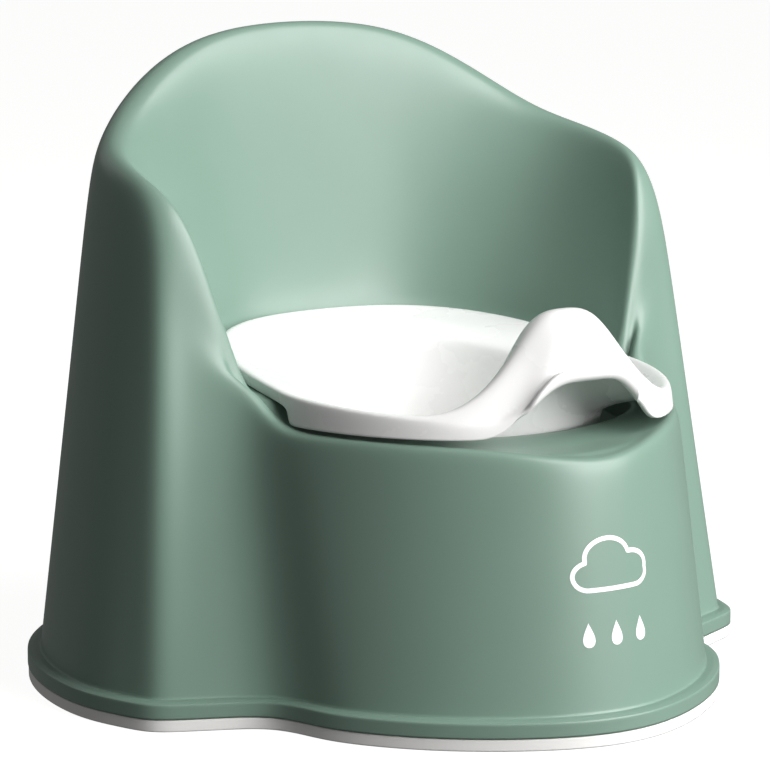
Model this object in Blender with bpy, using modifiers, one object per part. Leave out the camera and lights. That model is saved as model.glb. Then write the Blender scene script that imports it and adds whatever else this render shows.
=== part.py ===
"""Potty training chair: a one-piece seat shell, a lift-out inner potty and an anti-slip edging.

+Z is up, the child faces -Y, and the chair stands on z = 0.
"""
import math

import bpy
from mathutils import Vector

# ---------------------------------------------------------------- driving dimensions (metres)
# overall
CHAIR_WIDTH = 0.3720        # across the foot flange
CHAIR_DEPTH = 0.3560        # front to back across the foot flange
BACK_TOP = 0.3095           # crest of the backrest above the floor

# foot: edging strip under a small flange
FLANGE_OUT = 0.0065         # flange beyond the wall
FLANGE_TOP = 0.0135         # top face of the flange
FLANGE_UNDER = 0.0058       # underside of the flange
FLANGE_ROUND = 0.0008       # softened top edge of the flange
STRIP_HEIGHT = 0.0082       # edging, from the floor up behind the flange
STRIP_THICK = 0.0035
STRIP_INSET = 0.0004        # band set in from the flange face

# plan of the wall where it meets the flange; a point is (inset from the half width, y)
NOSE_ALLOWANCE = 0.0017     # the smoothed skin draws the narrow nose in by this much
FOOT_SIDE_Y = 0.0050        # widest point of the rear lobe
FOOT_REAR_EXP = 2.15
FOOT_CORNER = (0.0130, -0.0365)
FOOT_LOBE = (0.0385, -0.0480)
FOOT_NECK = (0.0645, -0.0600)
FOOT_NOSE = (0.0715, -0.0850)
NOSE_EXP = 1.60

# plan of the crest (top of the outer wall)
CREST_HALF_WIDTH = 0.1480
CREST_BACK_Y = 0.1120
CREST_FRONT_Y = -0.1600
CREST_SIDE_Y = 0.0260
CREST_REAR_EXP = 2.50
CREST_CORNER = (0.0015, -0.0120)
CREST_LOBE = (0.0190, -0.0240)
CREST_NECK = (0.0330, -0.0350)
CREST_NOSE = (0.0390, -0.0520)

# crest heights, back centre round the arm to front centre
BACK_SHOULDER = 0.2775
ARM_TOP = 0.2545
ARM_RISES = (0.0894, 0.0650, 0.0300, 0.0110, 0.0012)    # above the rim, from the arm to the neck
FRONT_STEP = 0.0166         # front edge below the rim
SCOOP_DEPTH = 0.0095        # finger recess in the middle of the front edge
BACK_CROWN = 0.0030         # fall of the crest from its middle to the next station
ARM_DIP = 0.0070            # fall of the arm before it turns down to the front
CREST_ROLL = 0.0108         # rounding of the arm and backrest
FRONT_ROLL = 0.0050         # rounding of the front edge
ARM_ROLLS = (0.0120, 0.0130, 0.0120, 0.0095, 0.0065)    # rounding from the arm down to the neck
ARM_FALLS = (0.40, 0.90, 0.95, 0.60, 0.20)              # how far that rounding leans inward

# inside of the shell
SHELL_THICK = 0.0030
ARM_WIDTH = 0.0370          # crest to seat edge, at the sides
SEAT_BACK_Y = 0.0930
SEAT_CENTRE_Y = -0.0200
SEAT_EXP = 2.50
SEAT_FILLET = 0.0110
SEAT_CORNER_INSETS = (0.0000, 0.0004, 0.0016, 0.0042, 0.0090)   # seat edge drawn in by the arm
SEAT_CORNER_YS = (-0.0218, -0.0240, -0.0266, -0.0300, -0.0350)
STEP_INSET = 0.0130         # seat edge drawn in at the step
HOLE_LIP = 0.0100           # turned-down edge of the hole
HOLE_ROUND = 0.0015

# inner potty: the rim lies on the seat, the hole is inside the rim and the bowl inside the hole
POTTY_THICK = 0.0025
RIM_MARGIN = 0.0115         # seat left showing outside the rim
RIM_BACK_MARGIN = 0.0110
FRONT_LEDGE = 0.0170        # shell left showing in front of the skirt
SEAT_LEDGE = 0.0105         # overlap of the rim on the seat, at the sides
SEAT_BACK_LEDGE = 0.0090
BOWL_CLEARANCE = 0.0220     # hole to bowl, at the sides
BOWL_BACK_CLEARANCE = 0.0200
BOWL_FRONT_CLEARANCE = 0.0090
RIM_CENTRE_Y = -0.0420
RIM_REAR_EXP = 2.62
RIM_FRONT_EXP = 2.00
RIM_SIDE_Z = 0.1506         # rim beside the seat step
RIM_RISE = 0.1290           # slope of the rim towards the backrest
RIM_FALL = 0.0600           # slope of the rim towards the front
RIM_LIP = 0.0060            # turned-down edge of the rim
RIM_ROUND = 0.0012
STEP_Y = -0.0440            # behind this the rim lies on the seat
STEP_RUN = 0.0018
SKIRT_START = 0.0020        # skirt begins this far in front of the seat step
SKIRT_GAP = 0.0023          # skirt over the front edge
SKIRT_FLARE = 0.0015
BOWL_FRONT_SLOPE = 0.0440   # rim front to bowl mouth
BOWL_EXP = 2.10
BOWL_EDGE_DROP = 0.0095
BOWL_FOOT_SHARE = 0.78      # floor of the bowl against its mouth
BOWL_FLOOR_Z = 0.0460
GUARD_RISE = 0.0419         # ridge of the splash guard above the rim
GUARD_HALF_SPAN = 0.0715
GUARD_GAIN = 1.17           # how soon the guard reaches its full height
HOOD_HALF_SPAN = 0.0560     # front slope of the guard
HOOD_GAIN = 1.15
ARCH_RISE = 0.0164          # lower edge of the guard above the rim
ARCH_HALF_SPAN = 0.0450
ARCH_GAIN = 1.60

# sizes that follow from the fits above
FRONT_TOP = RIM_SIDE_Z - FRONT_STEP
SEAT_HALF_WIDTH = CREST_HALF_WIDTH - ARM_WIDTH
GUARD_TOP = RIM_SIDE_Z + GUARD_RISE
ARCH_TOP = RIM_SIDE_Z + ARCH_RISE
RIM_HALF_WIDTH = SEAT_HALF_WIDTH - RIM_MARGIN
RIM_BACK_Y = SEAT_BACK_Y - RIM_BACK_MARGIN
RIM_FRONT_Y = CREST_FRONT_Y + FRONT_LEDGE
HOLE_HALF_WIDTH = RIM_HALF_WIDTH - SEAT_LEDGE
HOLE_BACK_Y = RIM_BACK_Y - SEAT_BACK_LEDGE
BOWL_HALF_WIDTH = HOLE_HALF_WIDTH - BOWL_CLEARANCE
BOWL_BACK_Y = HOLE_BACK_Y - BOWL_BACK_CLEARANCE
BOWL_FRONT_Y = RIM_FRONT_Y + BOWL_FRONT_SLOPE
HOLE_FRONT_Y = BOWL_FRONT_Y - BOWL_FRONT_CLEARANCE
SKIRT_BOTTOM = FRONT_TOP + SKIRT_GAP

# clearances
SEAT_GAP = 0.0005           # rim over the seat
STRIP_GAP = 0.0004          # edging to the shell

# stations of the chair, from back centre round to front centre
REAR_TURNS = (0, 15, 30, 45, 60, 76, 92)
REAR_LAST = 6
NOSE_FIRST = 12
SCOOP_FIRST = 14
CORNER_BEFORE = 0.62        # stations close to the corner keep it tight
CORNER_AFTER = 0.42
NOSE_TURNS = (90, 74, 50, 25, 0)
SIDE_DRIFT = 0.001          # last rear station set in front of the widest point, per degree
HOLE_FRONT_TURNS = (86, 83, 80, 77, 73, 68, 58, 42, 22, 0)

# stations of the potty, close together where the skirt starts
POTTY_TURNS = (0, 15, 30, 45, 60, 75, 85, 90.5, 92.6, 93.9, 97, 104, 115, 127, 138,
               147, 155, 161.5, 168, 174, 180)

# rows of the shell, as shares of the span they lie on
BACK_SHARE = 0.45           # crest height before the back shoulder
ARM_SHARE = 0.70            # crest height between the shoulder and the arm
SCOOP_SHARE = 0.25          # recess depth one station off the middle
SCOOP_SPAN = 2.0            # stations the recess takes to deepen
SCOOP_SEAT_SHARE = 0.7      # recess depth at the seat row
SCOOP_HOLE_SHARE = 0.2      # recess depth at the hole
FRONT_SEAT_SHARE = 0.40     # seat row between the front crest and the hole
FLANGE_ROW = 0.45           # on the flange, from its edge to the wall
WALL_FOOT_RISE = 0.012      # first wall row above the flange
WALL_ROWS = (0.35, 0.68)
ROLL_START = 1.2            # the wall ends this many roundings below the crest
ROLL_WIDTH = 2.0            # width of the rolled edge, in roundings
ROLL_REACH = 0.75           # most of the way to the seat edge it may take
ROLL_ROWS = (0.17, 0.73)
ROLL_CROWN = 0.03
ROLL_LEAN = 0.7             # share of the lean taken by the inner crest row
FILLET_REACH = 0.4          # most of the inner wall the seat fillet may take
SEAT_ROWS = (0.25, 0.80)
LIP_DRAW = 0.02

# rows of the potty; a pair holds the value on the plain rim and the one on the guard
FLOOR_ROWS = (0.72, 0.97)
FLOOR_ROUND = 0.0015
FOOT_ROW, FOOT_RISE = 0.12, 0.014
MIDDLE_ROW = 0.55
NECK_ROW, NECK_DROP = 0.93, 0.012
MOUTH_ROW, MOUTH_RISE = (0.06, 0.02), (-0.001, 0.006)
SLOPE_ROW, SLOPE_RISE, SLOPE_SHARE = (0.34, 0.08), 0.004, 0.55
BANK_ROW, BANK_DROP = (0.70, 0.34), 0.003
RIDGE_ROW, RIDGE_CROWN = (0.93, 0.66), (0.0, 0.0008)
EDGE_ROW, EDGE_DROP = (1.0, 0.90), 0.0080
SKIRT_SHARE = 0.35          # upper part of the guard's front face

COLLECTION = "potty_chair"


# ---------------------------------------------------------------- helpers
def mix(a, b, share):
    return a + (b - a) * share


def mix_xy(a, b, share):
    return (mix(a[0], b[0], share), mix(a[1], b[1], share))


def smooth(value):
    value = max(0.0, min(1.0, value))
    return value * value * (3.0 - 2.0 * value)


def quarter(across, along, exponent, degrees):
    """Point on a quarter superellipse: 0 degrees lies on the 'along' axis."""
    turn = math.radians(degrees)
    return (across * math.sin(turn) ** (2.0 / exponent),
            along * max(0.0, math.cos(turn)) ** (2.0 / exponent))


def outward(plan):
    """Outward unit normal at every station of a half outline mirrored in x = 0."""
    normals = []
    for index, here in enumerate(plan):
        before = plan[index - 1] if index else (-plan[1][0], plan[1][1])
        after = plan[index + 1] if index + 1 < len(plan) else (-plan[-2][0], plan[-2][1])
        run = Vector((after[0] - before[0], after[1] - before[1])).normalized()
        normals.append((-run.y, run.x))
    return normals


def offset_plan(plan, distance):
    return [(p[0] + n[0] * distance if p[0] > 1e-9 else 0.0, p[1] + n[1] * distance)
            for p, n in zip(plan, outward(plan))]


def half_plan(half_width, back_y, front_y, side_y, rear_exp, corner, lobe, neck, nose):
    """Half outline from back centre round the corner under the arm and the neck to the nose."""
    corner, lobe, neck, nose = ((half_width - inset, y) for inset, y in (corner, lobe, neck, nose))
    plan = []
    for turn in REAR_TURNS[:-1]:
        x, y = quarter(half_width, back_y - side_y, rear_exp, turn)
        plan.append((x, side_y + y))
    plan.append((half_width, side_y - (REAR_TURNS[-1] - 90) * SIDE_DRIFT))
    plan.append(mix_xy(plan[-1], corner, CORNER_BEFORE))
    plan.append(corner)
    plan.append(mix_xy(corner, lobe, CORNER_AFTER))
    plan.append(lobe)
    plan.append(neck)
    for turn in NOSE_TURNS:
        x, y = quarter(nose[0], nose[1] - front_y, NOSE_EXP, turn)
        plan.append((x, nose[1] - y))
    return plan


def material(name, colour, roughness):
    mat = bpy.data.materials.new(name)
    mat.use_nodes = True
    shader = mat.node_tree.nodes["Principled BSDF"]
    shader.inputs["Base Color"].default_value = (*colour, 1.0)
    shader.inputs["Roughness"].default_value = roughness
    shader.inputs["Metallic"].default_value = 0.0
    return mat


def half_cage(name, stations, home, mat, centre=None, closed=False):
    """Loft a half cage (stations x rows) in the x >= 0 half; the mirror closes it."""
    verts, faces = [], []
    rows = len(stations[0])
    for station in stations:
        verts.extend(station)
    for s in range(len(stations) - 1):
        for r in range(rows if closed else rows - 1):
            a, b, up = s * rows + r, (s + 1) * rows + r, (r + 1) % rows - r
            faces.append((a, a + up, b + up, b))
    if centre is not None:
        verts.append(centre)
        tip = len(verts) - 1
        for s in range(len(stations) - 1):
            faces.append((s * rows, (s + 1) * rows, tip))
    mesh = bpy.data.meshes.new(name)
    mesh.from_pydata(verts, [], faces)
    mesh.materials.append(mat)
    for face in mesh.polygons:
        face.use_smooth = True
    obj = bpy.data.objects.new(name, mesh)
    home.objects.link(obj)
    mirror = obj.modifiers.new("mirror", "MIRROR")
    mirror.use_clip = True
    mirror.merge_threshold = 0.00005
    return obj


def crease_rows(obj, rows, creases, count):
    """Sharpen whole rows of the cage: creases maps a row number to a weight."""
    mesh = obj.data
    layer = mesh.attributes.new("crease_edge", "FLOAT", "EDGE")
    for edge in mesh.edges:
        a, b = edge.vertices
        if a >= rows * count or b >= rows * count:
            continue
        if a % rows == b % rows and a % rows in creases:
            layer.data[edge.index].value = creases[a % rows]


def subdivide(obj, levels):
    sub = obj.modifiers.new("smooth skin", "SUBSURF")
    sub.levels = levels
    sub.render_levels = levels


def thicken(obj, thickness, offset):
    shell = obj.modifiers.new("wall thickness", "SOLIDIFY")
    shell.thickness = thickness
    shell.offset = offset
    shell.use_even_offset = True
    shell.use_quality_normals = True


# ---------------------------------------------------------------- chair shell
def seat_height(y):
    """Top of the seat under the rim, behind the step."""
    return rim_height(y) - RIM_LIP - SEAT_GAP


def rim_height(y):
    return RIM_SIDE_Z + max(0.0, y - STEP_Y) * RIM_RISE - max(0.0, STEP_Y - y) * RIM_FALL


def foot_plan():
    half_width = CHAIR_WIDTH / 2 - FLANGE_OUT
    half_depth = CHAIR_DEPTH / 2 - FLANGE_OUT
    return half_plan(half_width, half_depth, -half_depth - NOSE_ALLOWANCE, FOOT_SIDE_Y,
                     FOOT_REAR_EXP, FOOT_CORNER, FOOT_LOBE, FOOT_NECK, FOOT_NOSE)


def crest_heights():
    """Height of the crest at every station."""
    scoop = FRONT_TOP - SCOOP_DEPTH
    return (BACK_TOP, BACK_TOP - BACK_CROWN, mix(BACK_TOP, BACK_SHOULDER, BACK_SHARE), BACK_SHOULDER,
            mix(BACK_SHOULDER, ARM_TOP, ARM_SHARE), ARM_TOP, ARM_TOP - ARM_DIP,
            *(RIM_SIDE_Z + rise for rise in ARM_RISES),
            FRONT_TOP, FRONT_TOP, FRONT_TOP, mix(FRONT_TOP, scoop, SCOOP_SHARE), scoop)


def arm_rounding(k):
    """Radius of the rolled crest and its lean at station k."""
    if k <= REAR_LAST:
        return CREST_ROLL, 0.0
    if k >= NOSE_FIRST:
        return FRONT_ROLL, 0.0
    return ARM_ROLLS[k - REAR_LAST - 1], ARM_FALLS[k - REAR_LAST - 1]


def seat_and_hole(k, crest):
    """Plan of the seat edge and of the hole edge at station k."""
    if k <= REAR_LAST:
        turn = 90.0 * k / REAR_LAST
        seat = quarter(SEAT_HALF_WIDTH, SEAT_BACK_Y - SEAT_CENTRE_Y, SEAT_EXP, turn)
        hole = quarter(HOLE_HALF_WIDTH, HOLE_BACK_Y - SEAT_CENTRE_Y, SEAT_EXP, turn)
        return (seat[0], SEAT_CENTRE_Y + seat[1]), (hole[0], SEAT_CENTRE_Y + hole[1])
    turn = HOLE_FRONT_TURNS[k - REAR_LAST - 1]
    x, y = quarter(HOLE_HALF_WIDTH, SEAT_CENTRE_Y - HOLE_FRONT_Y, SEAT_EXP, turn)
    hole = (x, SEAT_CENTRE_Y - y)
    if k < NOSE_FIRST:
        drawn_in, seat_y = SEAT_CORNER_INSETS[k - REAR_LAST - 1], SEAT_CORNER_YS[k - REAR_LAST - 1]
        seat = (SEAT_HALF_WIDTH - drawn_in, seat_y)
        return seat, (hole[0], max(hole[1], seat[1]))
    if k == NOSE_FIRST:
        return (SEAT_HALF_WIDTH - STEP_INSET, STEP_Y), (hole[0], STEP_Y)
    return mix_xy(crest[k], hole, FRONT_SEAT_SHARE), hole


def seat_and_hole_heights(k, seat, hole):
    if k < NOSE_FIRST:
        return seat_height(seat[1]), seat_height(hole[1])
    dip = SCOOP_DEPTH * smooth((k - SCOOP_FIRST) / SCOOP_SPAN)
    return FRONT_TOP - SCOOP_SEAT_SHARE * dip, FRONT_TOP - SCOOP_HOLE_SHARE * dip


def shell_stations():
    """Every station runs from the flange up the wall, over the crest and down to the hole."""
    foot = foot_plan()
    flange = offset_plan(foot, FLANGE_OUT)
    crest = half_plan(CREST_HALF_WIDTH, CREST_BACK_Y, CREST_FRONT_Y, CREST_SIDE_Y,
                      CREST_REAR_EXP, CREST_CORNER, CREST_LOBE, CREST_NECK, CREST_NOSE)
    stations = []
    for k, top in enumerate(crest_heights()):
        roll, fall = arm_rounding(k)
        seat, hole = seat_and_hole(k, crest)
        seat_z, hole_z = seat_and_hole_heights(k, seat, hole)

        def on_wall(z):
            share = (z - FLANGE_TOP) / (top - FLANGE_TOP)
            return (*mix_xy(foot[k], crest[k], share), z)

        # the rolled edge runs from the crest towards the seat edge
        reach = Vector((seat[0] - crest[k][0], seat[1] - crest[k][1]))
        width = min(ROLL_WIDTH * roll, reach.length * ROLL_REACH)
        reach.normalize()

        def inward(distance):
            return (crest[k][0] + reach.x * distance, crest[k][1] + reach.y * distance)

        inner_z = max(top - roll * (1.0 + fall), seat_z)
        shoulder = inward(width)
        fillet_z = seat_z + min(SEAT_FILLET, (inner_z - seat_z) * FILLET_REACH)
        stations.append([Vector(p) for p in (
            # flange
            (*flange[k], FLANGE_UNDER),
            (*flange[k], FLANGE_TOP - FLANGE_ROUND),
            (*mix_xy(flange[k], foot[k], FLANGE_ROW), FLANGE_TOP),
            (*foot[k], FLANGE_TOP),
            # outer wall
            on_wall(FLANGE_TOP + WALL_FOOT_RISE),
            on_wall(mix(FLANGE_TOP, top, WALL_ROWS[0])),
            on_wall(mix(FLANGE_TOP, top, WALL_ROWS[1])),
            on_wall(top - roll * ROLL_START),
            # rolled crest
            (*inward(width * ROLL_ROWS[0]), top + roll * ROLL_CROWN),
            (*inward(width * ROLL_ROWS[1]), top + roll * (ROLL_CROWN - ROLL_LEAN * fall)),
            (*shoulder, inner_z),
            # inner wall
            (*mix_xy(shoulder, seat, 0.5), mix(inner_z, fillet_z, 0.5)),
            (*seat, fillet_z),
            # seat, and the lip turned down round the hole
            (*mix_xy(seat, hole, SEAT_ROWS[0]), seat_z),
            (*mix_xy(seat, hole, SEAT_ROWS[1]), hole_z),
            (*hole, hole_z - HOLE_ROUND),
            (*mix_xy(hole, (0.0, SEAT_CENTRE_Y), LIP_DRAW), hole_z - HOLE_LIP),
        )])
    return stations


SHELL_CREASES = {0: 1.0, 1: 0.5, 2: 0.4, 3: 0.9, 15: 0.3}      # flange edges and the hole edge


def build_shell(home, mat):
    stations = shell_stations()
    obj = half_cage("chair_shell", stations, home, mat)
    crease_rows(obj, len(stations[0]), SHELL_CREASES, len(stations))
    subdivide(obj, 1)
    thicken(obj, SHELL_THICK, -1.0)
    return obj


# ---------------------------------------------------------------- inner potty
POTTY_CREASES = {5: 0.35, 9: 0.25, 11: 1.0}     # bowl mouth, rim edge and lower edge


def ring(half_width, back_y, front_y, centre_y, rear_exp, front_exp, turn):
    if turn <= 90:
        x, y = quarter(half_width, back_y - centre_y, rear_exp, turn)
        return (x, centre_y + y)
    x, y = quarter(half_width, centre_y - front_y, front_exp, 180 - turn)
    return (x, centre_y - y)


def potty_stations():
    stations = []
    for turn in POTTY_TURNS:
        rim = ring(RIM_HALF_WIDTH, RIM_BACK_Y, RIM_FRONT_Y, RIM_CENTRE_Y,
                   RIM_REAR_EXP, RIM_FRONT_EXP, turn)
        mouth = ring(BOWL_HALF_WIDTH, BOWL_BACK_Y, BOWL_FRONT_Y, RIM_CENTRE_Y,
                     BOWL_EXP, BOWL_EXP, turn)
        floor = (mouth[0] * BOWL_FOOT_SHARE,
                 RIM_CENTRE_Y + (mouth[1] - RIM_CENTRE_Y) * BOWL_FOOT_SHARE)
        if turn in (0, 180):
            rim, mouth, floor = (0.0, rim[1]), (0.0, mouth[1]), (0.0, floor[1])
        rim_z = rim_height(rim[1])
        edge_z = rim_z - BOWL_EDGE_DROP
        guard = hood = arch = 0.0
        if turn > 90:
            guard = smooth(GUARD_GAIN * (1.0 - rim[0] / GUARD_HALF_SPAN))
            hood = smooth(HOOD_GAIN * (1.0 - rim[0] / HOOD_HALF_SPAN))
            arch = smooth(ARCH_GAIN * (1.0 - rim[0] / ARCH_HALF_SPAN))
        # turned-down edge: a short lip on the seat, a deeper skirt in front of the step
        drop = smooth((STEP_Y - SKIRT_START - rim[1]) / STEP_RUN)
        bottom = mix(rim_z - RIM_LIP, SKIRT_BOTTOM, drop)
        bottom = mix(bottom, ARCH_TOP, arch)
        ridge = mix(rim_z, GUARD_TOP, guard)
        slope = mix(rim_z, GUARD_TOP, hood)
        out = Vector((rim[0], rim[1] - RIM_CENTRE_Y)).normalized()
        flare = SKIRT_FLARE * drop
        skirt = (rim[0] + out.x * flare, rim[1] + out.y * flare)

        def across(pair):
            return mix_xy(mouth, rim, mix(*pair, guard))

        points = [
            # bowl floor and wall
            (*mix_xy((0.0, RIM_CENTRE_Y), floor, FLOOR_ROWS[0]), BOWL_FLOOR_Z),
            (*mix_xy((0.0, RIM_CENTRE_Y), floor, FLOOR_ROWS[1]), BOWL_FLOOR_Z + FLOOR_ROUND),
            (*mix_xy(floor, mouth, FOOT_ROW), BOWL_FLOOR_Z + FOOT_RISE),
            (*mix_xy(floor, mouth, MIDDLE_ROW), mix(BOWL_FLOOR_Z, edge_z, MIDDLE_ROW)),
            (*mix_xy(floor, mouth, NECK_ROW), edge_z - NECK_DROP),
            # mouth, and the rim rising into the guard
            (*across(MOUTH_ROW), edge_z + mix(*MOUTH_RISE, guard)),
            (*across(SLOPE_ROW), mix(edge_z + SLOPE_RISE, mix(rim_z, ridge, SLOPE_SHARE), guard)),
            (*across(BANK_ROW), mix(rim_z, ridge, guard) - BANK_DROP),
            (*across(RIDGE_ROW), ridge + mix(*RIDGE_CROWN, guard)),
            # rim edge and skirt
            (*across(EDGE_ROW), mix(rim_z - RIM_ROUND, slope - EDGE_DROP, hood)),
            (*mix_xy(rim, skirt, 0.5), mix(rim_z - RIM_ROUND, mix(bottom, slope, SKIRT_SHARE), 0.5)),
            (*skirt, bottom),
        ]
        stations.append([Vector(p) for p in points])
    return stations


def build_potty(home, mat):
    stations = potty_stations()
    centre = Vector((0.0, RIM_CENTRE_Y, BOWL_FLOOR_Z))
    obj = half_cage("inner_potty", stations, home, mat, centre)
    crease_rows(obj, len(stations[0]), POTTY_CREASES, len(stations))
    subdivide(obj, 1)
    thicken(obj, POTTY_THICK, 1.0)
    return obj


# ---------------------------------------------------------------- anti-slip edging
def build_strip(home, mat):
    """L-shaped soft edging: a visible band under the flange and a lip up inside the wall."""
    foot = foot_plan()
    face = offset_plan(foot, FLANGE_OUT - STRIP_INSET)
    inner = offset_plan(foot, FLANGE_OUT - SHELL_THICK - STRIP_GAP)
    heel = offset_plan(foot, FLANGE_OUT - SHELL_THICK - STRIP_GAP - STRIP_THICK)
    stations = []
    for k in range(len(foot)):
        points = [
            (*face[k], 0.0), (*face[k], FLANGE_UNDER - STRIP_GAP),
            (*inner[k], FLANGE_UNDER - STRIP_GAP), (*inner[k], STRIP_HEIGHT),
            (*heel[k], STRIP_HEIGHT), (*heel[k], 0.0),
        ]
        stations.append([Vector(p) for p in points])
    rows = len(stations[0])
    obj = half_cage("edging_strip", stations, home, mat, closed=True)
    crease_rows(obj, rows, dict.fromkeys(range(rows), 1.0), len(stations))
    subdivide(obj, 1)
    return obj


# ---------------------------------------------------------------- assembly
def main():
    for obj in list(bpy.data.objects):
        bpy.data.objects.remove(obj)
    home = bpy.data.collections.new(COLLECTION)
    bpy.context.scene.collection.children.link(home)
    green = material("shell_green_pp", (0.185, 0.300, 0.235), 0.30)
    white = material("potty_white_pp", (0.860, 0.850, 0.830), 0.28)
    rubber = material("edging_tpe", (0.780, 0.770, 0.740), 0.60)
    build_shell(home, green)
    build_potty(home, white)
    build_strip(home, rubber)


main()
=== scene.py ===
"""Looks of the potty chair: a satin green seat shell, a white lift-out potty and a soft edging."""
import math

import bmesh
import bpy
from mathutils import Matrix, Vector
from mathutils.bvhtree import BVHTree


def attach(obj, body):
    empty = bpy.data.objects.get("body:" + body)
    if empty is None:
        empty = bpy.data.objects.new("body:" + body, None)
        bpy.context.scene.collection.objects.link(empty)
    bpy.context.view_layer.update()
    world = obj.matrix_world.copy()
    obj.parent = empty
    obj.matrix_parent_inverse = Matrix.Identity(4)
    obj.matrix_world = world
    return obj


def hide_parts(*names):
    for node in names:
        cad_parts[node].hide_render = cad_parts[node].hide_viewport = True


SKIN_LEVELS = 3             # the CAD solids are the same cages at one level

# ---------------------------------------------------------------- driving dimensions (metres)
# overall
CHAIR_WIDTH = 0.3720        # across the foot flange
CHAIR_DEPTH = 0.3560        # front to back across the foot flange
BACK_TOP = 0.3095           # crest of the backrest above the floor

# foot: edging strip under a small flange
FLANGE_OUT = 0.0065         # flange beyond the wall
FLANGE_TOP = 0.0135         # top face of the flange
FLANGE_UNDER = 0.0058       # underside of the flange
FLANGE_ROUND = 0.0008       # softened top edge of the flange
STRIP_HEIGHT = 0.0082       # edging, from the floor up behind the flange
STRIP_THICK = 0.0035
STRIP_INSET = 0.0004        # band set in from the flange face

# plan of the wall where it meets the flange; a point is (inset from the half width, y)
NOSE_ALLOWANCE = 0.0017     # the smoothed skin draws the narrow nose in by this much
FOOT_SIDE_Y = 0.0050        # widest point of the rear lobe
FOOT_REAR_EXP = 2.15
FOOT_CORNER = (0.0130, -0.0365)
FOOT_LOBE = (0.0385, -0.0480)
FOOT_NECK = (0.0645, -0.0600)
FOOT_NOSE = (0.0715, -0.0850)
NOSE_EXP = 1.60

# plan of the crest (top of the outer wall)
CREST_HALF_WIDTH = 0.1480
CREST_BACK_Y = 0.1120
CREST_FRONT_Y = -0.1600
CREST_SIDE_Y = 0.0260
CREST_REAR_EXP = 2.50
CREST_CORNER = (0.0015, -0.0120)
CREST_LOBE = (0.0190, -0.0240)
CREST_NECK = (0.0330, -0.0350)
CREST_NOSE = (0.0390, -0.0520)

# crest heights, back centre round the arm to front centre
BACK_SHOULDER = 0.2775
ARM_TOP = 0.2545
ARM_RISES = (0.0894, 0.0650, 0.0300, 0.0110, 0.0012)    # above the rim, from the arm to the neck
FRONT_STEP = 0.0166         # front edge below the rim
SCOOP_DEPTH = 0.0095        # finger recess in the middle of the front edge
BACK_CROWN = 0.0030         # fall of the crest from its middle to the next station
ARM_DIP = 0.0070            # fall of the arm before it turns down to the front
CREST_ROLL = 0.0108         # rounding of the arm and backrest
FRONT_ROLL = 0.0050         # rounding of the front edge
ARM_ROLLS = (0.0120, 0.0130, 0.0120, 0.0095, 0.0065)    # rounding from the arm down to the neck
ARM_FALLS = (0.40, 0.90, 0.95, 0.60, 0.20)              # how far that rounding leans inward

# inside of the shell
SHELL_THICK = 0.0030
ARM_WIDTH = 0.0370          # crest to seat edge, at the sides
SEAT_BACK_Y = 0.0930
SEAT_CENTRE_Y = -0.0200
SEAT_EXP = 2.50
SEAT_FILLET = 0.0110
SEAT_CORNER_INSETS = (0.0000, 0.0004, 0.0016, 0.0042, 0.0090)   # seat edge drawn in by the arm
SEAT_CORNER_YS = (-0.0218, -0.0240, -0.0266, -0.0300, -0.0350)
STEP_INSET = 0.0130         # seat edge drawn in at the step
HOLE_LIP = 0.0100           # turned-down edge of the hole
HOLE_ROUND = 0.0015

# inner potty: the rim lies on the seat, the hole is inside the rim and the bowl inside the hole
POTTY_THICK = 0.0025
RIM_MARGIN = 0.0115         # seat left showing outside the rim
RIM_BACK_MARGIN = 0.0110
FRONT_LEDGE = 0.0170        # shell left showing in front of the skirt
SEAT_LEDGE = 0.0105         # overlap of the rim on the seat, at the sides
SEAT_BACK_LEDGE = 0.0090
BOWL_CLEARANCE = 0.0220     # hole to bowl, at the sides
BOWL_BACK_CLEARANCE = 0.0200
BOWL_FRONT_CLEARANCE = 0.0090
RIM_CENTRE_Y = -0.0420
RIM_REAR_EXP = 2.62
RIM_FRONT_EXP = 2.00
RIM_SIDE_Z = 0.1506         # rim beside the seat step
RIM_RISE = 0.1290           # slope of the rim towards the backrest
RIM_FALL = 0.0600           # slope of the rim towards the front
RIM_LIP = 0.0060            # turned-down edge of the rim
RIM_ROUND = 0.0012
STEP_Y = -0.0440            # behind this the rim lies on the seat
STEP_RUN = 0.0018
SKIRT_START = 0.0020        # skirt begins this far in front of the seat step
SKIRT_GAP = 0.0023          # skirt over the front edge
SKIRT_FLARE = 0.0015
BOWL_FRONT_SLOPE = 0.0440   # rim front to bowl mouth
BOWL_EXP = 2.10
BOWL_EDGE_DROP = 0.0095
BOWL_FOOT_SHARE = 0.78      # floor of the bowl against its mouth
BOWL_FLOOR_Z = 0.0460
GUARD_RISE = 0.0419         # ridge of the splash guard above the rim
GUARD_HALF_SPAN = 0.0715
GUARD_GAIN = 1.17           # how soon the guard reaches its full height
HOOD_HALF_SPAN = 0.0560     # front slope of the guard
HOOD_GAIN = 1.15
ARCH_RISE = 0.0164          # lower edge of the guard above the rim
ARCH_HALF_SPAN = 0.0450
ARCH_GAIN = 1.60

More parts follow.
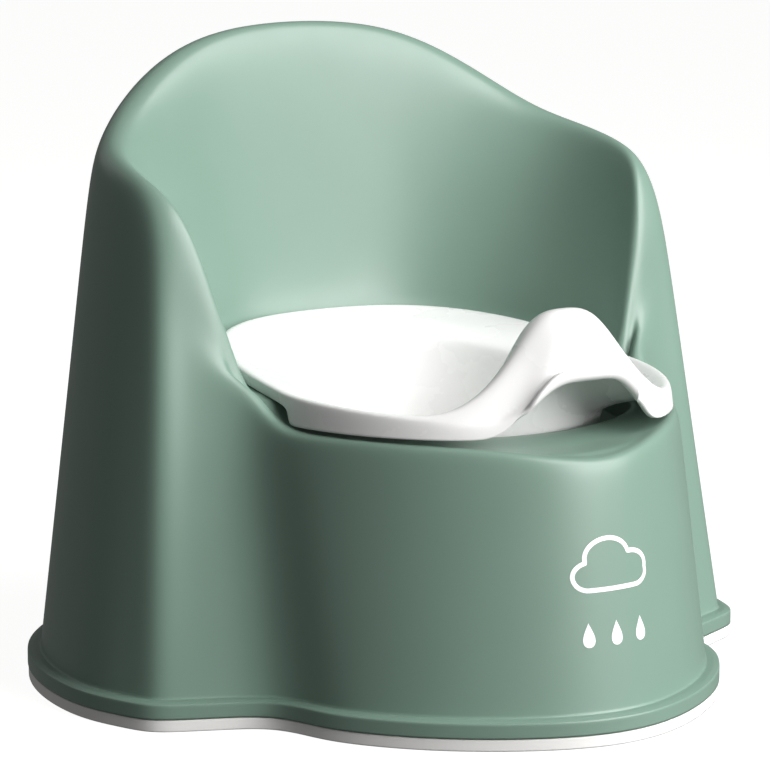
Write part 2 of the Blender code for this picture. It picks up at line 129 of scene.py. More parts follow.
# sizes that follow from the fits above
FRONT_TOP = RIM_SIDE_Z - FRONT_STEP
SEAT_HALF_WIDTH = CREST_HALF_WIDTH - ARM_WIDTH
GUARD_TOP = RIM_SIDE_Z + GUARD_RISE
ARCH_TOP = RIM_SIDE_Z + ARCH_RISE
RIM_HALF_WIDTH = SEAT_HALF_WIDTH - RIM_MARGIN
RIM_BACK_Y = SEAT_BACK_Y - RIM_BACK_MARGIN
RIM_FRONT_Y = CREST_FRONT_Y + FRONT_LEDGE
HOLE_HALF_WIDTH = RIM_HALF_WIDTH - SEAT_LEDGE
HOLE_BACK_Y = RIM_BACK_Y - SEAT_BACK_LEDGE
BOWL_HALF_WIDTH = HOLE_HALF_WIDTH - BOWL_CLEARANCE
BOWL_BACK_Y = HOLE_BACK_Y - BOWL_BACK_CLEARANCE
BOWL_FRONT_Y = RIM_FRONT_Y + BOWL_FRONT_SLOPE
HOLE_FRONT_Y = BOWL_FRONT_Y - BOWL_FRONT_CLEARANCE
SKIRT_BOTTOM = FRONT_TOP + SKIRT_GAP

# clearances
SEAT_GAP = 0.0005           # rim over the seat
STRIP_GAP = 0.0004          # edging to the shell

# stations of the chair, from back centre round to front centre
REAR_TURNS = (0, 15, 30, 45, 60, 76, 92)
REAR_LAST = 6
NOSE_FIRST = 12
SCOOP_FIRST = 14
CORNER_BEFORE = 0.62        # stations close to the corner keep it tight
CORNER_AFTER = 0.42
NOSE_TURNS = (90, 74, 50, 25, 0)
SIDE_DRIFT = 0.001          # last rear station set in front of the widest point, per degree
HOLE_FRONT_TURNS = (86, 83, 80, 77, 73, 68, 58, 42, 22, 0)

# stations of the potty, close together where the skirt starts
POTTY_TURNS = (0, 15, 30, 45, 60, 75, 85, 90.5, 92.6, 93.9, 97, 104, 115, 127, 138,
               147, 155, 161.5, 168, 174, 180)

# rows of the shell, as shares of the span they lie on
BACK_SHARE = 0.45           # crest height before the back shoulder
ARM_SHARE = 0.70            # crest height between the shoulder and the arm
SCOOP_SHARE = 0.25          # recess depth one station off the middle
SCOOP_SPAN = 2.0            # stations the recess takes to deepen
SCOOP_SEAT_SHARE = 0.7      # recess depth at the seat row
SCOOP_HOLE_SHARE = 0.2      # recess depth at the hole
FRONT_SEAT_SHARE = 0.40     # seat row between the front crest and the hole
FLANGE_ROW = 0.45           # on the flange, from its edge to the wall
WALL_FOOT_RISE = 0.012      # first wall row above the flange
WALL_ROWS = (0.35, 0.68)
ROLL_START = 1.2            # the wall ends this many roundings below the crest
ROLL_WIDTH = 2.0            # width of the rolled edge, in roundings
ROLL_REACH = 0.75           # most of the way to the seat edge it may take
ROLL_ROWS = (0.17, 0.73)
ROLL_CROWN = 0.03
ROLL_LEAN = 0.7             # share of the lean taken by the inner crest row
FILLET_REACH = 0.4          # most of the inner wall the seat fillet may take
SEAT_ROWS = (0.25, 0.80)
LIP_DRAW = 0.02

# rows of the potty; a pair holds the value on the plain rim and the one on the guard
FLOOR_ROWS = (0.72, 0.97)
FLOOR_ROUND = 0.0015
FOOT_ROW, FOOT_RISE = 0.12, 0.014
MIDDLE_ROW = 0.55
NECK_ROW, NECK_DROP = 0.93, 0.012
MOUTH_ROW, MOUTH_RISE = (0.06, 0.02), (-0.001, 0.006)
SLOPE_ROW, SLOPE_RISE, SLOPE_SHARE = (0.34, 0.08), 0.004, 0.55
BANK_ROW, BANK_DROP = (0.70, 0.34), 0.003
RIDGE_ROW, RIDGE_CROWN = (0.93, 0.66), (0.0, 0.0008)
EDGE_ROW, EDGE_DROP = (1.0, 0.90), 0.0080
SKIRT_SHARE = 0.35          # upper part of the guard's front face


def mix(a, b, share):
    return a + (b - a) * share


def mix_xy(a, b, share):
    return (mix(a[0], b[0], share), mix(a[1], b[1], share))


def smooth(value):
    value = max(0.0, min(1.0, value))
    return value * value * (3.0 - 2.0 * value)


def quarter(across, along, exponent, degrees):
    """Point on a quarter superellipse: 0 degrees lies on the 'along' axis."""
    turn = math.radians(degrees)
    return (across * math.sin(turn) ** (2.0 / exponent),
            along * max(0.0, math.cos(turn)) ** (2.0 / exponent))


def outward(plan):
    """Outward unit normal at every station of a half outline mirrored in x = 0."""
    normals = []
    for index, here in enumerate(plan):
        before = plan[index - 1] if index else (-plan[1][0], plan[1][1])
        after = plan[index + 1] if index + 1 < len(plan) else (-plan[-2][0], plan[-2][1])
        run = Vector((after[0] - before[0], after[1] - before[1])).normalized()
        normals.append((-run.y, run.x))
    return normals


def offset_plan(plan, distance):
    return [(p[0] + n[0] * distance if p[0] > 1e-9 else 0.0, p[1] + n[1] * distance)
            for p, n in zip(plan, outward(plan))]


def half_plan(half_width, back_y, front_y, side_y, rear_exp, corner, lobe, neck, nose):
    """Half outline from back centre round the corner under the arm and the neck to the nose."""
    corner, lobe, neck, nose = ((half_width - inset, y) for inset, y in (corner, lobe, neck, nose))
    plan = []
    for turn in REAR_TURNS[:-1]:
        x, y = quarter(half_width, back_y - side_y, rear_exp, turn)
        plan.append((x, side_y + y))
    plan.append((half_width, side_y - (REAR_TURNS[-1] - 90) * SIDE_DRIFT))
    plan.append(mix_xy(plan[-1], corner, CORNER_BEFORE))
    plan.append(corner)
    plan.append(mix_xy(corner, lobe, CORNER_AFTER))
    plan.append(lobe)
    plan.append(neck)
    for turn in NOSE_TURNS:
        x, y = quarter(nose[0], nose[1] - front_y, NOSE_EXP, turn)
        plan.append((x, nose[1] - y))
    return plan


def half_cage(name, stations, centre=None, closed=False):
    """Loft a half cage (stations x rows) in the x >= 0 half; the mirror closes it."""
    verts, faces = [], []
    rows = len(stations[0])
    for station in stations:
        verts.extend(station)
    for s in range(len(stations) - 1):
        for r in range(rows if closed else rows - 1):
            a, b, up = s * rows + r, (s + 1) * rows + r, (r + 1) % rows - r
            faces.append((a, a + up, b + up, b))
    if centre is not None:
        verts.append(centre)
        tip = len(verts) - 1
        for s in range(len(stations) - 1):
            faces.append((s * rows, (s + 1) * rows, tip))
    mesh = bpy.data.meshes.new(name)
    mesh.from_pydata(verts, [], faces)
    for face in mesh.polygons:
        face.use_smooth = True
    obj = bpy.data.objects.new(name, mesh)
    bpy.context.scene.collection.objects.link(obj)
    mirror = obj.modifiers.new("mirror", "MIRROR")
    mirror.use_clip = True
    mirror.merge_threshold = 0.00005
    return obj


def crease_rows(obj, rows, creases, count):
    """Sharpen whole rows of the cage: creases maps a row number to a weight."""
    mesh = obj.data
    layer = mesh.attributes.new("crease_edge", "FLOAT", "EDGE")
    for edge in mesh.edges:
        a, b = edge.vertices
        if a >= rows * count or b >= rows * count:
            continue
        if a % rows == b % rows and a % rows in creases:
            layer.data[edge.index].value = creases[a % rows]


def subdivide(obj, levels):
    sub = obj.modifiers.new("smooth skin", "SUBSURF")
    sub.levels = levels
    sub.render_levels = levels


def thicken(obj, thickness, offset):
    shell = obj.modifiers.new("wall thickness", "SOLIDIFY")
    shell.thickness = thickness
    shell.offset = offset
    shell.use_even_offset = True
    shell.use_quality_normals = True


# ---------------------------------------------------------------- chair shell
def seat_height(y):
    """Top of the seat under the rim, behind the step."""
    return rim_height(y) - RIM_LIP - SEAT_GAP


def rim_height(y):
    return RIM_SIDE_Z + max(0.0, y - STEP_Y) * RIM_RISE - max(0.0, STEP_Y - y) * RIM_FALL


def foot_plan():
    half_width = CHAIR_WIDTH / 2 - FLANGE_OUT
    half_depth = CHAIR_DEPTH / 2 - FLANGE_OUT
    return half_plan(half_width, half_depth, -half_depth - NOSE_ALLOWANCE, FOOT_SIDE_Y,
                     FOOT_REAR_EXP, FOOT_CORNER, FOOT_LOBE, FOOT_NECK, FOOT_NOSE)


def crest_heights():
    """Height of the crest at every station."""
    scoop = FRONT_TOP - SCOOP_DEPTH
    return (BACK_TOP, BACK_TOP - BACK_CROWN, mix(BACK_TOP, BACK_SHOULDER, BACK_SHARE), BACK_SHOULDER,
            mix(BACK_SHOULDER, ARM_TOP, ARM_SHARE), ARM_TOP, ARM_TOP - ARM_DIP,
            *(RIM_SIDE_Z + rise for rise in ARM_RISES),
            FRONT_TOP, FRONT_TOP, FRONT_TOP, mix(FRONT_TOP, scoop, SCOOP_SHARE), scoop)


def arm_rounding(k):
    """Radius of the rolled crest and its lean at station k."""
    if k <= REAR_LAST:
        return CREST_ROLL, 0.0
    if k >= NOSE_FIRST:
        return FRONT_ROLL, 0.0
    return ARM_ROLLS[k - REAR_LAST - 1], ARM_FALLS[k - REAR_LAST - 1]


def seat_and_hole(k, crest):
    """Plan of the seat edge and of the hole edge at station k."""
    if k <= REAR_LAST:
        turn = 90.0 * k / REAR_LAST
        seat = quarter(SEAT_HALF_WIDTH, SEAT_BACK_Y - SEAT_CENTRE_Y, SEAT_EXP, turn)
        hole = quarter(HOLE_HALF_WIDTH, HOLE_BACK_Y - SEAT_CENTRE_Y, SEAT_EXP, turn)
        return (seat[0], SEAT_CENTRE_Y + seat[1]), (hole[0], SEAT_CENTRE_Y + hole[1])
    turn = HOLE_FRONT_TURNS[k - REAR_LAST - 1]
    x, y = quarter(HOLE_HALF_WIDTH, SEAT_CENTRE_Y - HOLE_FRONT_Y, SEAT_EXP, turn)
    hole = (x, SEAT_CENTRE_Y - y)
    if k < NOSE_FIRST:
        drawn_in, seat_y = SEAT_CORNER_INSETS[k - REAR_LAST - 1], SEAT_CORNER_YS[k - REAR_LAST - 1]
        seat = (SEAT_HALF_WIDTH - drawn_in, seat_y)
        return seat, (hole[0], max(hole[1], seat[1]))
    if k == NOSE_FIRST:
        return (SEAT_HALF_WIDTH - STEP_INSET, STEP_Y), (hole[0], STEP_Y)
    return mix_xy(crest[k], hole, FRONT_SEAT_SHARE), hole


def seat_and_hole_heights(k, seat, hole):
    if k < NOSE_FIRST:
        return seat_height(seat[1]), seat_height(hole[1])
    dip = SCOOP_DEPTH * smooth((k - SCOOP_FIRST) / SCOOP_SPAN)
    return FRONT_TOP - SCOOP_SEAT_SHARE * dip, FRONT_TOP - SCOOP_HOLE_SHARE * dip


def shell_stations():
    """Every station runs from the flange up the wall, over the crest and down to the hole."""
    foot = foot_plan()
    flange = offset_plan(foot, FLANGE_OUT)
    crest = half_plan(CREST_HALF_WIDTH, CREST_BACK_Y, CREST_FRONT_Y, CREST_SIDE_Y,
                      CREST_REAR_EXP, CREST_CORNER, CREST_LOBE, CREST_NECK, CREST_NOSE)
    stations = []
    for k, top in enumerate(crest_heights()):
        roll, fall = arm_rounding(k)
        seat, hole = seat_and_hole(k, crest)
        seat_z, hole_z = seat_and_hole_heights(k, seat, hole)

        def on_wall(z):
            share = (z - FLANGE_TOP) / (top - FLANGE_TOP)
            return (*mix_xy(foot[k], crest[k], share), z)

        # the rolled edge runs from the crest towards the seat edge
        reach = Vector((seat[0] - crest[k][0], seat[1] - crest[k][1]))
        width = min(ROLL_WIDTH * roll, reach.length * ROLL_REACH)
        reach.normalize()

        def inward(distance):
            return (crest[k][0] + reach.x * distance, crest[k][1] + reach.y * distance)

        inner_z = max(top - roll * (1.0 + fall), seat_z)
        shoulder = inward(width)
        fillet_z = seat_z + min(SEAT_FILLET, (inner_z - seat_z) * FILLET_REACH)
        stations.append([Vector(p) for p in (
            # flange
            (*flange[k], FLANGE_UNDER),
            (*flange[k], FLANGE_TOP - FLANGE_ROUND),
            (*mix_xy(flange[k], foot[k], FLANGE_ROW), FLANGE_TOP),
            (*foot[k], FLANGE_TOP),
            # outer wall
            on_wall(FLANGE_TOP + WALL_FOOT_RISE),
            on_wall(mix(FLANGE_TOP, top, WALL_ROWS[0])),
            on_wall(mix(FLANGE_TOP, top, WALL_ROWS[1])),
            on_wall(top - roll * ROLL_START),
            # rolled crest
            (*inward(width * ROLL_ROWS[0]), top + roll * ROLL_CROWN),
            (*inward(width * ROLL_ROWS[1]), top + roll * (ROLL_CROWN - ROLL_LEAN * fall)),
            (*shoulder, inner_z),
            # inner wall
            (*mix_xy(shoulder, seat, 0.5), mix(inner_z, fillet_z, 0.5)),
            (*seat, fillet_z),
            # seat, and the lip turned down round the hole
            (*mix_xy(seat, hole, SEAT_ROWS[0]), seat_z),
            (*mix_xy(seat, hole, SEAT_ROWS[1]), hole_z),
            (*hole, hole_z - HOLE_ROUND),
            (*mix_xy(hole, (0.0, SEAT_CENTRE_Y), LIP_DRAW), hole_z - HOLE_LIP),
        )])
    return stations


SHELL_CREASES = {0: 1.0, 1: 0.5, 2: 0.4, 3: 0.9, 15: 0.3}      # flange edges and the hole edge


def build_shell():
    stations = shell_stations()
    obj = half_cage("seat_shell", stations)
    crease_rows(obj, len(stations[0]), SHELL_CREASES, len(stations))
    subdivide(obj, SKIN_LEVELS)
    thicken(obj, SHELL_THICK, -1.0)
    return obj


# ---------------------------------------------------------------- inner potty
POTTY_CREASES = {5: 0.35, 9: 0.25, 11: 1.0}     # bowl mouth, rim edge and lower edge


def ring(half_width, back_y, front_y, centre_y, rear_exp, front_exp, turn):
    if turn <= 90:
        x, y = quarter(half_width, back_y - centre_y, rear_exp, turn)
        return (x, centre_y + y)
    x, y = quarter(half_width, centre_y - front_y, front_exp, 180 - turn)
    return (x, centre_y - y)


def potty_stations():
    stations = []
    for turn in POTTY_TURNS:
        rim = ring(RIM_HALF_WIDTH, RIM_BACK_Y, RIM_FRONT_Y, RIM_CENTRE_Y,
                   RIM_REAR_EXP, RIM_FRONT_EXP, turn)
        mouth = ring(BOWL_HALF_WIDTH, BOWL_BACK_Y, BOWL_FRONT_Y, RIM_CENTRE_Y,
                     BOWL_EXP, BOWL_EXP, turn)
        floor = (mouth[0] * BOWL_FOOT_SHARE,
                 RIM_CENTRE_Y + (mouth[1] - RIM_CENTRE_Y) * BOWL_FOOT_SHARE)
        if turn in (0, 180):
            rim, mouth, floor = (0.0, rim[1]), (0.0, mouth[1]), (0.0, floor[1])
        rim_z = rim_height(rim[1])
        edge_z = rim_z - BOWL_EDGE_DROP
        guard = hood = arch = 0.0
        if turn > 90:
            guard = smooth(GUARD_GAIN * (1.0 - rim[0] / GUARD_HALF_SPAN))
            hood = smooth(HOOD_GAIN * (1.0 - rim[0] / HOOD_HALF_SPAN))
            arch = smooth(ARCH_GAIN * (1.0 - rim[0] / ARCH_HALF_SPAN))
        # turned-down edge: a short lip on the seat, a deeper skirt in front of the step
        drop = smooth((STEP_Y - SKIRT_START - rim[1]) / STEP_RUN)
        bottom = mix(rim_z - RIM_LIP, SKIRT_BOTTOM, drop)
        bottom = mix(bottom, ARCH_TOP, arch)
        ridge = mix(rim_z, GUARD_TOP, guard)
        slope = mix(rim_z, GUARD_TOP, hood)
        out = Vector((rim[0], rim[1] - RIM_CENTRE_Y)).normalized()
        flare = SKIRT_FLARE * drop
        skirt = (rim[0] + out.x * flare, rim[1] + out.y * flare)

        def across(pair):
            return mix_xy(mouth, rim, mix(*pair, guard))

        points = [
            # bowl floor and wall
            (*mix_xy((0.0, RIM_CENTRE_Y), floor, FLOOR_ROWS[0]), BOWL_FLOOR_Z),
            (*mix_xy((0.0, RIM_CENTRE_Y), floor, FLOOR_ROWS[1]), BOWL_FLOOR_Z + FLOOR_ROUND),
            (*mix_xy(floor, mouth, FOOT_ROW), BOWL_FLOOR_Z + FOOT_RISE),
            (*mix_xy(floor, mouth, MIDDLE_ROW), mix(BOWL_FLOOR_Z, edge_z, MIDDLE_ROW)),
            (*mix_xy(floor, mouth, NECK_ROW), edge_z - NECK_DROP),
            # mouth, and the rim rising into the guard
            (*across(MOUTH_ROW), edge_z + mix(*MOUTH_RISE, guard)),
            (*across(SLOPE_ROW), mix(edge_z + SLOPE_RISE, mix(rim_z, ridge, SLOPE_SHARE), guard)),
            (*across(BANK_ROW), mix(rim_z, ridge, guard) - BANK_DROP),
            (*across(RIDGE_ROW), ridge + mix(*RIDGE_CROWN, guard)),
            # rim edge and skirt
            (*across(EDGE_ROW), mix(rim_z - RIM_ROUND, slope - EDGE_DROP, hood)),
            (*mix_xy(rim, skirt, 0.5), mix(rim_z - RIM_ROUND, mix(bottom, slope, SKIRT_SHARE), 0.5)),
            (*skirt, bottom),
        ]
        stations.append([Vector(p) for p in points])
    return stations


def build_potty():
    stations = potty_stations()
    centre = Vector((0.0, RIM_CENTRE_Y, BOWL_FLOOR_Z))
    obj = half_cage("lift_out_potty", stations, centre)
    crease_rows(obj, len(stations[0]), POTTY_CREASES, len(stations))
    subdivide(obj, SKIN_LEVELS)
    thicken(obj, POTTY_THICK, 1.0)
    return obj


# ---------------------------------------------------------------- anti-slip edging
def build_strip():
    """L-shaped soft edging: a visible band under the flange and a lip up inside the wall."""
    foot = foot_plan()
    face = offset_plan(foot, FLANGE_OUT - STRIP_INSET)
    inner = offset_plan(foot, FLANGE_OUT - SHELL_THICK - STRIP_GAP)
    heel = offset_plan(foot, FLANGE_OUT - SHELL_THICK - STRIP_GAP - STRIP_THICK)
    stations = []
    for k in range(len(foot)):
        points = [
            (*face[k], 0.0), (*face[k], FLANGE_UNDER - STRIP_GAP),
            (*inner[k], FLANGE_UNDER - STRIP_GAP), (*inner[k], STRIP_HEIGHT),
            (*heel[k], STRIP_HEIGHT), (*heel[k], 0.0),
        ]
        stations.append([Vector(p) for p in points])
    rows = len(stations[0])
    obj = half_cage("floor_edging", stations, closed=True)
    crease_rows(obj, rows, dict.fromkeys(range(rows), 1.0), len(stations))
    subdivide(obj, SKIN_LEVELS)
    return obj


# ---------------------------------------------------------------- printed motif
# a plain cloud with three drops, in the place of the maker's print
PRINT_LIFT = 0.00012        # ink above the wall
PRINT_DEPTH = 0.00030       # ink below its own top
LINE_WIDTH = 0.0021
CLOUD_CENTRE_Z = 0.0785
CLOUD_HALF_WIDTH = 0.0205
CLOUD_HALF_HEIGHT = 0.0150
PUFFS = ((-0.58, -0.22, 0.42), (-0.12, 0.30, 0.58), (0.52, -0.06, 0.46))    # centre x, z and radius
CLOUD_BASE_Z, CLOUD_BASE_HALF, CLOUD_BASE_ROUND = -0.64, 0.62, 0.36
CLOUD_POINTS = 120
DROP_XS = (-0.0145, 0.0, 0.0145)
DROP_Z = 0.0490
DROP_HALF_HEIGHT = 0.0056
DROP_HALF_WIDTH = 0.0034
DROP_TAPER = 0.75           # how soon the drop draws to its point
DROP_SWELL = 1.25           # makes up for the width the taper takes
DROP_POINTS = 40


def cloud_outline():
    """Outer edge of three puffs standing on a rounded base, as (x, z) round the cloud."""
    points = []
    for i in range(CLOUD_POINTS):
        turn = 2.0 * math.pi * i / CLOUD_POINTS
        ray = Vector((math.cos(turn), math.sin(turn)))
        far = 0.0
        circles = [Vector((x, z)) for x, z, _ in PUFFS]
        radii = [r for _, _, r in PUFFS]
        circles += [Vector((side * CLOUD_BASE_HALF, CLOUD_BASE_Z + CLOUD_BASE_ROUND)) for side in (-1, 1)]
        radii += [CLOUD_BASE_ROUND, CLOUD_BASE_ROUND]
        for centre, radius in zip(circles, radii):
            along = ray.dot(centre)
            inside = radius ** 2 - (centre.length_squared - along ** 2)
            if inside >= 0.0:
                far = max(far, along + math.sqrt(inside))
        if ray.y < 0.0:
            flat = CLOUD_BASE_Z / ray.y
            if abs(flat * ray.x) <= CLOUD_BASE_HALF:
                far = max(far, flat)
        points.append(ray * far)
    return [(p.x * CLOUD_HALF_WIDTH, p.y * CLOUD_HALF_HEIGHT) for p in points]


def drop_outline():
    """A drop: round below, drawn to a point above."""
    points = []
    for i in range(DROP_POINTS):
        turn = 2.0 * math.pi * i / DROP_POINTS
        pinch = 0.5 * (1.0 - math.sin(turn))
        points.append((DROP_HALF_WIDTH * math.cos(turn) * pinch ** DROP_TAPER * DROP_SWELL,
                       DROP_HALF_HEIGHT * math.sin(turn)))
    return points


def grown(outline, distance):
    """The outline moved outward by a distance."""
    count = len(outline)
    result = []
    for i, (x, z) in enumerate(outline):
        before, after = outline[i - 1], outline[(i + 1) % count]
        run = Vector((after[0] - before[0], after[1] - before[1])).normalized()
        result.append((x + run.y * distance, z - run.x * distance))
    return result


def on_wall_of(tree, x, z):
    """Point and outward normal of the front wall at (x, z)."""
    spot, normal, _, _ = tree.ray_cast(Vector((x, -1.0, z)), Vector((0.0, 1.0, 0.0)))
    return spot, normal


def printed(name, tree, outer, inner, centre_x, centre_z):
    """A thin film of ink on the wall between two outlines, or filling one if inner is None."""
    loops = [(outer, PRINT_LIFT), (outer, PRINT_LIFT - PRINT_DEPTH)]
    if inner is not None:
        loops = [(inner, PRINT_LIFT - PRINT_DEPTH), (inner, PRINT_LIFT)] + loops
    count = len(outer)
    verts, faces = [], []
    for outline, lift in loops:
        for x, z in outline:
            spot, normal = on_wall_of(tree, centre_x + x, centre_z + z)
            verts.append(spot + normal * lift)
    rings = range(4) if inner is not None else range(1)
    for ring_index in rings:
        other = (ring_index + 1) % len(loops)
        for i in range(count):
            j = (i + 1) % count
            faces.append((ring_index * count + i, ring_index * count + j,
                          other * count + j, other * count + i))
    if inner is None:
        for ring_index, lift in ((0, PRINT_LIFT), (1, PRINT_LIFT - PRINT_DEPTH)):
            spot, normal = on_wall_of(tree, centre_x, centre_z)
            verts.append(spot + normal * lift)
            tip = len(verts) - 1
            for i in range(count):
                faces.append((ring_index * count + i, ring_index * count + (i + 1) % count, tip))
    mesh = bpy.data.meshes.new(name)
    mesh.from_pydata(verts, [], faces)
    bm = bmesh.new()
    bm.from_mesh(mesh)
    bmesh.ops.recalc_face_normals(bm, faces=bm.faces)
    bm.to_mesh(mesh)
    bm.free()
    obj = bpy.data.objects.new(name, mesh)
    bpy.context.scene.collection.objects.link(obj)
    return obj


def build_print(shell):
    tree = BVHTree.FromObject(shell, bpy.context.evaluated_depsgraph_get())
    cloud = cloud_outline()
    pieces = [printed("print_cloud", tree, grown(cloud, LINE_WIDTH / 2),
                      grown(cloud, -LINE_WIDTH / 2), 0.0, CLOUD_CENTRE_Z)]
    for number, x in enumerate(DROP_XS, 1):
        pieces.append(printed(f"print_drop_{number}", tree, drop_outline(), None, x, DROP_Z))
    return pieces


# ---------------------------------------------------------------- materials
CLOUDS_PER_METRE = 9.0
WEAR_PER_METRE = 38.0
SKIN_GRAIN = 900.0
EDGING_GRAIN = 500.0
GRAIN_DEPTH = 0.0002
CLOUD_DETAIL, WEAR_DETAIL, GRAIN_DETAIL = 3.0, 4.0, 2.0
BAND = (0.30, 0.70)         # the part of the noise spread over the two ends


def moulded(name, dark, light, rough_low, rough_high, bump, grain_scale=SKIN_GRAIN):
    """Moulded plastic: faint cloudy colour, uneven gloss and a fine grain in the surface."""
    mat = bpy.data.materials.new(name)
    mat.use_nodes = True
    nodes, links = mat.node_tree.nodes, mat.node_tree.links
    shader = nodes["Principled BSDF"]
    place = nodes.new("ShaderNodeTexCoord")
    cloudy = nodes.new("ShaderNodeTexNoise")
    cloudy.inputs["Scale"].default_value = CLOUDS_PER_METRE
    cloudy.inputs["Detail"].default_value = CLOUD_DETAIL
    tint = nodes.new("ShaderNodeValToRGB")
    tint.color_ramp.elements[0].position = BAND[0]
    tint.color_ramp.elements[0].color = (*dark, 1.0)
    tint.color_ramp.elements[1].position = BAND[1]
    tint.color_ramp.elements[1].color = (*light, 1.0)
    wear = nodes.new("ShaderNodeTexNoise")
    wear.inputs["Scale"].default_value = WEAR_PER_METRE
    wear.inputs["Detail"].default_value = WEAR_DETAIL
    gloss = nodes.new("ShaderNodeMapRange")
    gloss.inputs["From Min"].default_value = BAND[0]
    gloss.inputs["From Max"].default_value = BAND[1]
    gloss.inputs["To Min"].default_value = rough_low
    gloss.inputs["To Max"].default_value = rough_high
    grain = nodes.new("ShaderNodeTexNoise")
    grain.inputs["Scale"].default_value = grain_scale
    grain.inputs["Detail"].default_value = GRAIN_DETAIL
    relief = nodes.new("ShaderNodeBump")
    relief.inputs["Strength"].default_value = bump
    relief.inputs["Distance"].default_value = GRAIN_DEPTH
    for texture in (cloudy, wear, grain):
        links.new(place.outputs["Object"], texture.inputs["Vector"])
    links.new(cloudy.outputs["Fac"], tint.inputs["Fac"])
    links.new(tint.outputs["Color"], shader.inputs["Base Color"])
    links.new(wear.outputs["Fac"], gloss.inputs["Value"])
    links.new(gloss.outputs["Result"], shader.inputs["Roughness"])
    links.new(grain.outputs["Fac"], relief.inputs["Height"])
    links.new(relief.outputs["Normal"], shader.inputs["Normal"])
    return mat


# ---------------------------------------------------------------- stage, lights and camera
AIM = Vector((0.0, 0.0145, 0.150))
CAMERA_AZIMUTH = -34.02
CAMERA_ELEVATION = 9.22
CAMERA_DISTANCE = 1.74643
SENSOR = 36.0
LENS = 167.73
SHIFT_X = -0.01087
SHIFT_Y = -0.03560
FLOOR_RADIUS = 6.0
FLOOR_SINK = 0.0002         # floor below the foot of the chair
FLOOR_SIDES = 96
DOME_SHARE = 0.98           # backdrop dome inside the rim of the floor
DOME_SEGMENTS, DOME_RINGS = 48, 24
FLOOR_GLOW = 0.94
FLOOR_PAINT = 0.22
DOME_GLOW = 1.05
FILL_RADIANCE = 0.145

# softboxes: degrees round from the camera, elevation, distance, width, height, radiance
SOFTBOXES = {
    "key_softbox": (64.0, 32.0, 1.8, 1.6, 1.8, 7.35),
    "front_softbox": (46.0, 9.0, 2.0, 1.2, 0.7, 3.2),
    "rim_softbox": (-130.0, 30.0, 1.9, 0.8, 1.0, 0.5),
}


def direction(azimuth, elevation):
    """Unit vector from the object towards a place at that azimuth and elevation."""
    turn, rise = math.radians(azimuth), math.radians(elevation)
    return Vector((math.sin(turn) * math.cos(rise), -math.cos(turn) * math.cos(rise), math.sin(rise)))


def add_camera():
    camera = bpy.data.objects.new("camera", bpy.data.cameras.new("camera"))
    camera.data.sensor_width = SENSOR
    camera.data.lens = LENS
    camera.data.shift_x = SHIFT_X
    camera.data.shift_y = SHIFT_Y
    back = direction(CAMERA_AZIMUTH, CAMERA_ELEVATION)
    turn = math.radians(CAMERA_AZIMUTH)
    right = Vector((math.cos(turn), math.sin(turn), 0.0))
    place = Matrix((right, back.cross(right), back)).transposed().to_4x4()
    place.translation = AIM + back * CAMERA_DISTANCE
    camera.matrix_world = place
    bpy.context.scene.collection.objects.link(camera)
    bpy.context.scene.camera = camera


def add_softbox(name, azimuth, elevation, distance, width, height, radiance):
    """A soft area light of a given brightness, turned towards the object."""
    lamp = bpy.data.lights.new(name, "AREA")
    lamp.shape = "RECTANGLE"
    lamp.size = width
    lamp.size_y = height
    lamp.energy = radiance * math.pi * width * height
    obj = bpy.data.objects.new(name, lamp)
    away = direction(azimuth, elevation)
    obj.location = AIM + away * distance
    obj.rotation_euler = away.to_track_quat("Z", "Y").to_euler()
    bpy.context.scene.collection.objects.link(obj)


def glowing(name, colour, strength):
    mat = bpy.data.materials.new(name)
    mat.use_nodes = True
    nodes, links = mat.node_tree.nodes, mat.node_tree.links
    nodes.remove(nodes["Principled BSDF"])
    glow = nodes.new("ShaderNodeEmission")
    glow.inputs["Color"].default_value = (*colour, 1.0)
    glow.inputs["Strength"].default_value = strength
    links.new(glow.outputs["Emission"], nodes["Material Output"].inputs["Surface"])
    return mat


def floor_material():
    """Pale sweep: mostly its own light, so that the contact shadow stays faint."""
    mat = glowing("pale_floor", (1.0, 0.997, 0.993), FLOOR_GLOW)
    nodes, links = mat.node_tree.nodes, mat.node_tree.links
    paint = nodes.new("ShaderNodeBsdfDiffuse")
    paint.inputs["Color"].default_value = (FLOOR_PAINT, FLOOR_PAINT, FLOOR_PAINT, 1.0)
    both = nodes.new("ShaderNodeAddShader")
    links.new(nodes["Emission"].outputs["Emission"], both.inputs[0])
    links.new(paint.outputs["BSDF"], both.inputs[1])
    links.new(both.outputs["Shader"], nodes["Material Output"].inputs["Surface"])
    return mat


def add_stage():
    bpy.ops.mesh.primitive_circle_add(vertices=FLOOR_SIDES, radius=FLOOR_RADIUS, fill_type="NGON",
                                      location=(0.0, 0.0, -FLOOR_SINK))
    floor = bpy.context.object
    floor.name = "studio_floor"
    floor.data.materials.append(floor_material())
    bpy.ops.mesh.primitive_uv_sphere_add(segments=DOME_SEGMENTS, ring_count=DOME_RINGS,
                                         radius=FLOOR_RADIUS * DOME_SHARE)
    dome = bpy.context.object
    dome.name = "studio_backdrop"
    dome.data.materials.append(glowing("white_backdrop", (1.0, 1.0, 1.0), DOME_GLOW))
    dome.visible_shadow = False
    for obj in (floor, dome):
        obj.visible_diffuse = False
        obj.visible_glossy = False


def add_world():
    world = bpy.data.worlds.new("studio_fill")
    world.use_nodes = True
    fill = world.node_tree.nodes["Background"]
    fill.inputs["Color"].default_value = (1.0, 1.0, 1.0, 1.0)
    fill.inputs["Strength"].default_value = FILL_RADIANCE
    bpy.context.scene.world = world


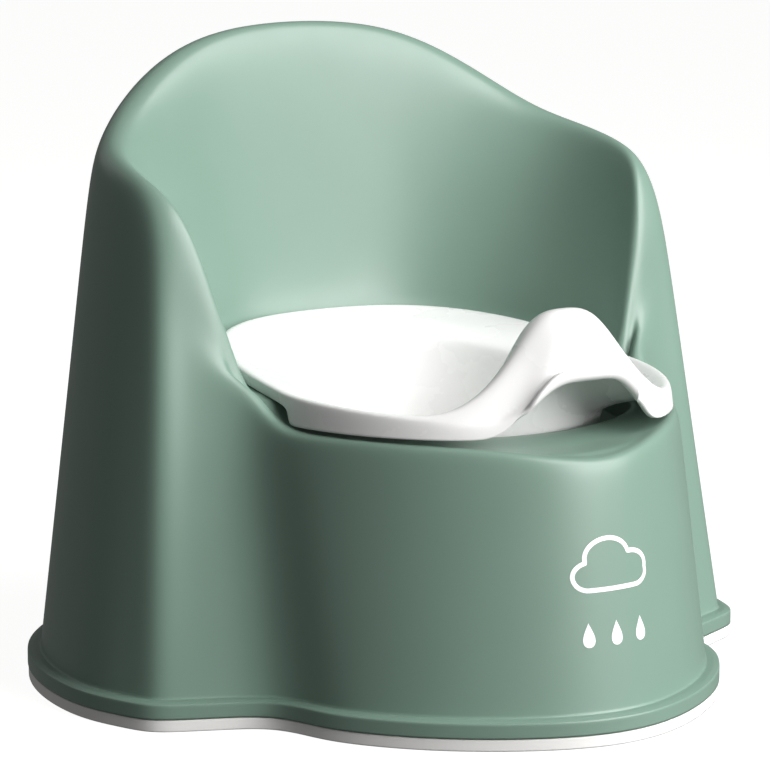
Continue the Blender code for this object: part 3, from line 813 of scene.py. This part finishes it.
# ---------------------------------------------------------------- the scene
SIDE_FIT = 0.9994           # the finer skin is drawn in by the tenth it bulges past the CAD facets


def settled(obj):
    """Turn the cage and its modifiers into a plain mesh that keeps within the CAD box."""
    skin = bpy.data.meshes.new_from_object(obj.evaluated_get(bpy.context.evaluated_depsgraph_get()))
    for vertex in skin.vertices:
        vertex.co.x *= SIDE_FIT
    obj.modifiers.clear()
    obj.data = skin
    return obj


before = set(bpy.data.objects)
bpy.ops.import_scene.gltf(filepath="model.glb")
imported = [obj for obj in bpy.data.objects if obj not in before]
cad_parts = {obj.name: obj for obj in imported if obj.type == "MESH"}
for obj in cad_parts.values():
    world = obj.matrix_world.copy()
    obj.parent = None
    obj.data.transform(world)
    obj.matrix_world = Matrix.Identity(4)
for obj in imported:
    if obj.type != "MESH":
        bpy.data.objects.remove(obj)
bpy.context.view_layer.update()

shell = settled(build_shell())
potty = settled(build_potty())
edging = settled(build_strip())

looks = {
    shell: moulded("satin_green_plastic", (0.174, 0.267, 0.215), (0.183, 0.279, 0.225), 0.34, 0.40, 0.05),
    potty: moulded("white_plastic", (0.84, 0.835, 0.825), (0.87, 0.865, 0.855), 0.24, 0.30, 0.08),
    edging: moulded("soft_edging", (0.82, 0.81, 0.79), (0.86, 0.85, 0.83), 0.50, 0.62, 0.30,
                    EDGING_GRAIN),
}
ink = moulded("white_print", (0.90, 0.90, 0.89), (0.93, 0.93, 0.92), 0.32, 0.40, 0.10)

for piece, node, body, finish in ((shell, "chair_shell", "chair", "shell_green_pp"),
                                  (potty, "inner_potty", "potty", "potty_white_pp"),
                                  (edging, "edging_strip", "chair", "edging_tpe")):
    piece.data.materials.append(looks[piece])
    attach(piece, body)
    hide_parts(node)
for mark in build_print(shell):
    mark.data.materials.append(ink)
    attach(mark, "chair")

add_stage()
add_world()
for name, (turn, rise, distance, width, height, radiance) in SOFTBOXES.items():
    add_softbox(name, CAMERA_AZIMUTH + turn, rise, distance, width, height, radiance)
add_camera()
bpy.context.scene.view_settings.view_transform = "Standard"
